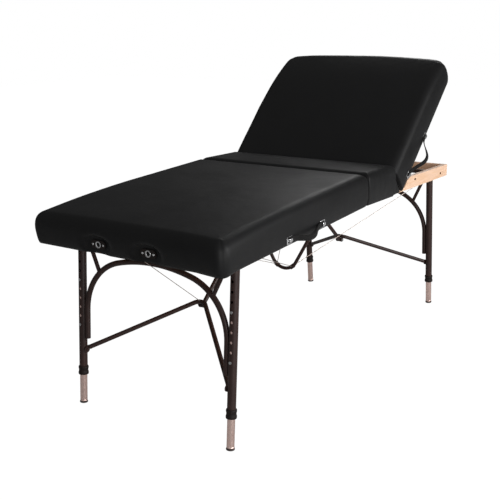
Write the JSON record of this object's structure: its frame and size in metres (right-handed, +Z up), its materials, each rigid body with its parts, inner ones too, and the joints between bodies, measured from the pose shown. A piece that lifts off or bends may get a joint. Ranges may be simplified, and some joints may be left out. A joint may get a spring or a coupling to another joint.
{
  "type": "folding massage table",
  "caption": "Folding massage table with a tilting backrest, telescoping splayed legs with arches and knee braces, cables, carry handles and sockets for a face cradle.",
  "frame": {"origin": "on the floor, under the middle of the box around the open table", "axes": "+X towards the end with the backrest, +Y across the table, +Z up"},
  "size_m": [1.7459, 0.78, 1.149],
  "materials": {
    "vinyl": "fine-grained matt upholstery",
    "maple": "clear lacquer",
    "plywood": "sanded",
    "webbing": "woven and padded",
    "black_paint": "fine powder coat",
    "black_plastic": "moulded",
    "aluminium": "satin anodised",
    "rubber": "matt",
    "steel": "zinc plated"
  },
  "bodies": {
    "foot_half": {"foot_pad": "vinyl", "foot_deck": "plywood", "foot_rail_left": "maple", "foot_rail_right": "maple", "foot_end_rail": "maple", "foot_centre_rail": "maple", "foot_batten": "maple", "foot_strut_bracket": "steel", "socket_left": "black_plastic", "socket_right": "black_plastic", "foot_handle": "webbing", "foot_handle_clips": "steel", "foot_hinge_leaves": "steel", "foot_hinge_knuckles": "steel", "foot_cables": "steel", "knee_cable": "steel"},
    "hinge_pins": {"hinge_pins": "steel"},
    "head_half": {"mid_pad": "vinyl", "mid_deck": "plywood", "head_rail_left": "maple", "head_rail_right": "maple", "head_end_rail": "maple", "head_centre_rail": "maple", "head_batten": "maple", "head_deck_batten": "maple", "head_strut_bracket": "steel", "head_hinge_leaves": "steel", "head_hinge_knuckles": "steel", "seam_gussets": "vinyl", "backrest_ears": "black_paint", "stirrup_brackets": "steel", "head_cables": "steel"},
    "backrest": {"backrest_pad": "vinyl", "backrest_board": "plywood", "backrest_arms": "steel", "head_handle": "webbing", "head_handle_clips": "steel"},
    "stirrup": {"stirrup": "black_paint"},
    "foot_legs": {"foot_leg_frame": "black_paint", "foot_collars": "black_plastic"},
    "head_legs": {"head_leg_frame": "black_paint", "head_collars": "black_plastic"},
    "foot_wishbone": {"foot_wishbone": "black_paint", "foot_knee_pin": "steel"},
    "head_wishbone": {"head_wishbone": "black_paint", "head_knee_pin": "steel"},
    "foot_strut": {"foot_strut": "black_paint"},
    "head_strut": {"head_strut": "black_paint"},
    "foot_left_leg": {"foot_left_inner_leg": "aluminium", "foot_left_tip": "rubber", "foot_left_snap": "steel"},
    "foot_right_leg": {"foot_right_inner_leg": "aluminium", "foot_right_tip": "rubber", "foot_right_snap": "steel"},
    "head_left_leg": {"head_left_inner_leg": "aluminium", "head_left_tip": "rubber", "head_left_snap": "steel"},
    "head_right_leg": {"head_right_inner_leg": "aluminium", "head_right_tip": "rubber", "head_right_snap": "steel"}
  },
  "joints": [
    {"name": "foot_fold", "type": "hinge", "parent": "hinge_pins", "child": "foot_half", "pos_m": [0.03249, 0, 0.627], "axis": [0, -1, 0], "range_deg": [0, 88.3], "deforming": ["foot_cables"]},
    {"name": "head_fold", "type": "hinge", "parent": "hinge_pins", "child": "head_half", "pos_m": [0.03249, 0, 0.627], "axis": [0, 1, 0], "range_deg": [0, 88.3], "deforming": ["foot_cables"]},
    {"name": "backrest_tilt", "type": "hinge", "parent": "head_half", "child": "backrest", "pos_m": [0.3091, 0, 0.72123], "axis": [0, 1, 0], "range_deg": [0, 43.2], "deforming": ["seam_gussets"]},
    {"name": "stirrup_fold", "type": "hinge", "parent": "head_half", "child": "stirrup", "pos_m": [0.07096, 0, 0.64226], "axis": [0, -1, 0], "range_deg": [0, 88.35], "deforming": ["foot_cables", "head_cables"]},
    {"name": "foot_leg_fold", "type": "hinge", "parent": "foot_half", "child": "foot_legs", "pos_m": [-0.72491, 0, 0.62893], "axis": [0, -1, 0], "range_deg": [0, 96.6], "deforming": ["foot_cables", "knee_cable"]},
    {"name": "foot_wishbone_turn", "type": "hinge", "parent": "foot_legs", "child": "foot_wishbone", "pos_m": [-0.76163, 0, 0.2005], "axis": [0, 1, 0], "range_deg": [0, 303.37]},
    {"name": "foot_strut_turn", "type": "hinge", "parent": "foot_half", "child": "foot_strut", "pos_m": [-0.09891, 0, 0.66451], "axis": [0, 1, 0], "range_deg": [0, 39.28]},
    {"name": "foot_left_height", "type": "slide", "parent": "foot_legs", "child": "foot_left_leg", "axis": [0.0854, 0, 0.9963], "range_m": [0, 0.064], "deforming": ["foot_left_snap"]},
    {"name": "foot_right_height", "type": "slide", "parent": "foot_legs", "child": "foot_right_leg", "axis": [0.0854, 0, 0.9963], "range_m": [0, 0.064], "deforming": ["foot_right_snap"]},
    {"name": "head_leg_fold", "type": "hinge", "parent": "head_half", "child": "head_legs", "pos_m": [0.78988, 0, 0.62893], "axis": [0, 1, 0], "range_deg": [0, 96.6], "deforming": ["head_cables"]},
    {"name": "head_wishbone_turn", "type": "hinge", "parent": "head_legs", "child": "head_wishbone", "pos_m": [0.82661, 0, 0.2005], "axis": [0, -1, 0], "range_deg": [0, 303.37]},
    {"name": "head_strut_turn", "type": "hinge", "parent": "head_half", "child": "head_strut", "pos_m": [0.16388, 0, 0.66451], "axis": [0, -1, 0], "range_deg": [0, 39.28]},
    {"name": "head_left_height", "type": "slide", "parent": "head_legs", "child": "head_left_leg", "axis": [-0.0854, 0, 0.9963], "range_m": [0, 0.064], "deforming": ["head_left_snap"]},
    {"name": "head_right_height", "type": "slide", "parent": "head_legs", "child": "head_right_leg", "axis": [-0.0854, 0, 0.9963], "range_m": [0, 0.064], "deforming": ["head_right_snap"]}
  ],
  "couplings": [
    {"joint": "foot_wishbone_turn", "follows": "foot_leg_fold", "ratio": 3.14},
    {"joint": "foot_strut_turn", "follows": "foot_leg_fold", "ratio": 0.40613},
    {"joint": "head_wishbone_turn", "follows": "head_leg_fold", "ratio": 3.14},
    {"joint": "head_strut_turn", "follows": "head_leg_fold", "ratio": 0.40613},
    {"joint": "stirrup_fold", "follows": "head_leg_fold", "ratio": 0.91408}
  ]
}
